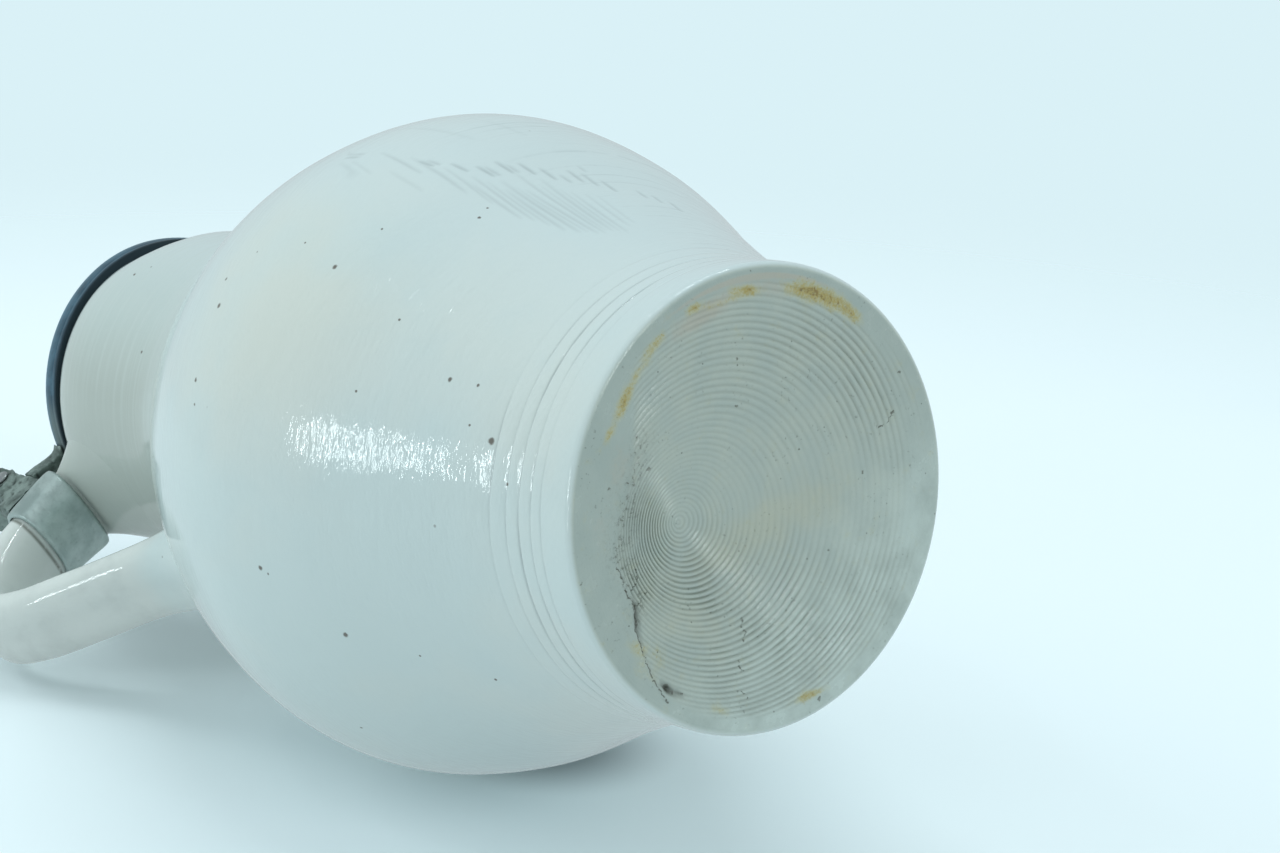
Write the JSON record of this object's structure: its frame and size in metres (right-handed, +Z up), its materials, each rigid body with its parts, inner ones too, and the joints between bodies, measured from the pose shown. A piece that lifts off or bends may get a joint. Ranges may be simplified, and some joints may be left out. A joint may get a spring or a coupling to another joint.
{
  "type": "cider jug",
  "caption": "Tall stoneware cider jug with a round belly, a pulled pouring lip, a pulled handle and a domed pewter lid hinged on a band round the handle.",
  "frame": {"origin": "middle of the base, on the surface that the jug stands on", "axes": "+Z up, +X towards the handle, -X towards the pouring lip"},
  "size_m": [0.1945, 0.1772, 0.3146],
  "materials": {
    "stoneware": "glossy pale grey-white glaze",
    "band_pewter": "smooth dull pewter",
    "cast_pewter": "rough cast pewter",
    "lid_pewter": "dark smooth pewter",
    "pin_metal": "drawn wire"
  },
  "bodies": {
    "jug": {"jug_body": "stoneware", "handle": "stoneware", "handle_band": "band_pewter", "hinge_bracket": "cast_pewter", "hinge_pin": "pin_metal"},
    "lid": {"lid": "lid_pewter", "lid_tang": "cast_pewter", "thumb_rest": "cast_pewter"}
  },
  "joints": [
    {"name": "lid_hinge", "type": "hinge", "parent": "jug", "child": "lid", "pos_m": [0.06, 0, 0.289], "axis": [0, 1, 0], "range_deg": [0, 100]}
  ]
}
